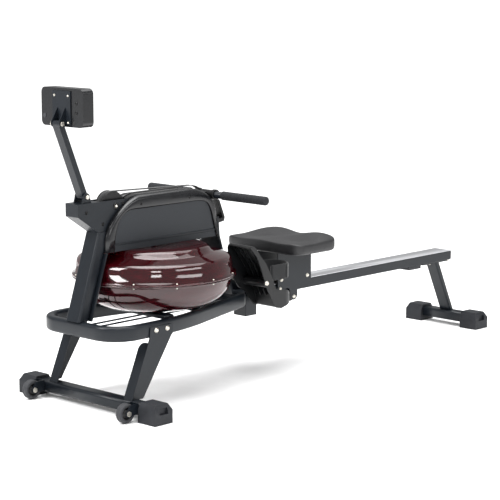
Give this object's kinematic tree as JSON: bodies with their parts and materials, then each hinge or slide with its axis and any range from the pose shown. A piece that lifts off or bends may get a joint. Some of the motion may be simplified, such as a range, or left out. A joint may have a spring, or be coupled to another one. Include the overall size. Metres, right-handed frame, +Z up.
{
  "type": "water rowing machine",
  "caption": "Water rowing machine: leaning post and hooped cover over a clear tank, sliding seat on a straight rail, pull handle, tilting footrests and display.",
  "frame": {"origin": "on the floor, at the middle of the whole machine's length and width", "axes": "+X along the rail from the post to the rear foot, +Y to the left of the seated rower seen from behind, +Z up"},
  "size_m": [1.922, 0.62, 0.973],
  "materials": {
    "powder_coat": "matte black powder coat",
    "foot_plastic": "angular moulded grey-black plastic",
    "moulded_black": "soft-sheen black moulding",
    "wheel_rubber": "grey rubber tread",
    "black_rubber": "black rubber",
    "grip_foam": "matte closed-cell foam",
    "bright_steel": "bright zinc-plated steel",
    "rail_steel": "satin stainless cover strip",
    "tank_red": "clear tinted polycarbonate",
    "water_red": "dyed water",
    "webbing": "black woven webbing",
    "screen": "dark display window"
  },
  "bodies": {
    "frame": {"front_cross_tube": "powder_coat", "rear_cross_tube": "powder_coat", "tray": "powder_coat", "front_leg_left": "powder_coat", "front_leg_right": "powder_coat", "wheel_bracket_left": "powder_coat", "wheel_bracket_right": "powder_coat", "post": "powder_coat", "head_shell": "powder_coat", "rear_strut": "powder_coat", "drive_bridge": "powder_coat", "rail_block": "powder_coat", "rail": "powder_coat", "rear_leg": "powder_coat", "pedal_bracket": "powder_coat", "front_foot_cap_left": "foot_plastic", "front_foot_cap_right": "foot_plastic", "rear_foot_cap_left": "foot_plastic", "rear_foot_cap_right": "foot_plastic", "cover_left": "moulded_black", "cover_right": "moulded_black", "handle_rest": "moulded_black", "tank_gasket": "black_rubber", "filler_plug": "black_rubber", "rail_stop": "black_rubber", "wheel_axle_left": "bright_steel", "wheel_axle_right": "bright_steel", "pulley_axle": "bright_steel", "pedal_axle": "bright_steel", "stem_pin": "bright_steel", "rail_cover": "rail_steel", "tank_lower": "tank_red", "tank_upper": "tank_red", "water": "water_red", "strap_run": "webbing"},
    "transport_wheel_left": {"transport_wheel_left": "wheel_rubber"},
    "transport_wheel_right": {"transport_wheel_right": "wheel_rubber"},
    "guide_pulley": {"guide_pulley": "moulded_black"},
    "strap_drum": {"strap_drum": "moulded_black"},
    "impeller": {"impeller": "moulded_black"},
    "seat": {"seat": "moulded_black", "seat_carriage": "powder_coat"},
    "top_roller_front": {"top_roller_front": "black_rubber"},
    "top_roller_rear": {"top_roller_rear": "black_rubber"},
    "low_roller": {"low_roller": "black_rubber"},
    "handle": {"handle_bar": "bright_steel", "handle_grip_left": "grip_foam", "handle_grip_right": "grip_foam", "handle_yoke": "moulded_black", "strap_tail": "webbing"},
    "pedal_left": {"pedal_left": "moulded_black", "foot_strap_left": "webbing"},
    "pedal_right": {"pedal_right": "moulded_black", "foot_strap_right": "webbing"},
    "console_stem": {"console_stem": "powder_coat", "tilt_pin": "bright_steel"},
    "console": {"console_housing": "moulded_black", "console_mount": "powder_coat", "console_screen": "screen"},
    "console_button": {"console_button": "black_rubber"}
  },
  "joints": [
    {"name": "left_wheel_spin", "type": "hinge", "parent": "frame", "child": "transport_wheel_left", "pos_m": [-0.893, 0.214, 0.03], "axis": [0, 1, 0], "continuous": true},
    {"name": "right_wheel_spin", "type": "hinge", "parent": "frame", "child": "transport_wheel_right", "pos_m": [-0.893, -0.214, 0.03], "axis": [0, 1, 0], "continuous": true},
    {"name": "seat_slide", "type": "slide", "parent": "frame", "child": "seat", "axis": [1, 0, 0], "range_m": [-0.02, 0.61]},
    {"name": "front_top_roller_spin", "type": "hinge", "parent": "seat", "child": "top_roller_front", "pos_m": [-0.035, 0, 0.2933], "axis": [0, 1, 0], "continuous": true},
    {"name": "rear_top_roller_spin", "type": "hinge", "parent": "seat", "child": "top_roller_rear", "pos_m": [0.093, 0, 0.2933], "axis": [0, 1, 0], "continuous": true},
    {"name": "low_roller_spin", "type": "hinge", "parent": "seat", "child": "low_roller", "pos_m": [0.027, 0, 0.2297], "axis": [0, 1, 0], "continuous": true},
    {"name": "handle_pull", "type": "slide", "parent": "frame", "child": "handle", "axis": [1, 0, 0], "range_m": [0, 0.9], "stiffness_N_per_m": 15, "springref_m": -0.6, "deforming": ["strap_tail"]},
    {"name": "guide_pulley_spin", "type": "hinge", "parent": "frame", "child": "guide_pulley", "pos_m": [-0.752, 0, 0.61], "axis": [0, 1, 0], "continuous": true},
    {"name": "strap_drum_spin", "type": "hinge", "parent": "frame", "child": "strap_drum", "pos_m": [-0.5705, 0, 0.567], "axis": [0, 0, 1], "continuous": true},
    {"name": "impeller_spin", "type": "hinge", "parent": "frame", "child": "impeller", "pos_m": [-0.5705, 0, 0.45], "axis": [0, 0, 1], "continuous": true},
    {"name": "left_pedal_tilt", "type": "hinge", "parent": "frame", "child": "pedal_left", "pos_m": [-0.222, 0.105, 0.32], "axis": [0, 1, 0], "range_deg": [-12, 3]},
    {"name": "right_pedal_tilt", "type": "hinge", "parent": "frame", "child": "pedal_right", "pos_m": [-0.222, -0.105, 0.32], "axis": [0, 1, 0], "range_deg": [-12, 3]},
    {"name": "stem_pivot", "type": "hinge", "parent": "frame", "child": "console_stem", "pos_m": [-0.86, 0, 0.647], "axis": [0, 1, 0], "range_deg": [-15, 45]},
    {"name": "console_tilt", "type": "hinge", "parent": "console_stem", "child": "console", "pos_m": [-0.95, 0, 0.87], "axis": [0, 1, 0], "range_deg": [-30, 8]},
    {"name": "button_press", "type": "slide", "parent": "console", "child": "console_button", "axis": [-1, 0, 0], "range_m": [0, 0.002], "stiffness_N_per_m": 400}
  ],
  "couplings": [
    {"joint": "front_top_roller_spin", "follows": "seat_slide", "rad_per_m": 90.909},
    {"joint": "rear_top_roller_spin", "follows": "seat_slide", "rad_per_m": 90.909},
    {"joint": "low_roller_spin", "follows": "seat_slide", "rad_per_m": -55.556},
    {"joint": "guide_pulley_spin", "follows": "handle_pull", "rad_per_m": 23.529},
    {"joint": "strap_drum_spin", "follows": "handle_pull", "rad_per_m": -37.037}
  ]
}
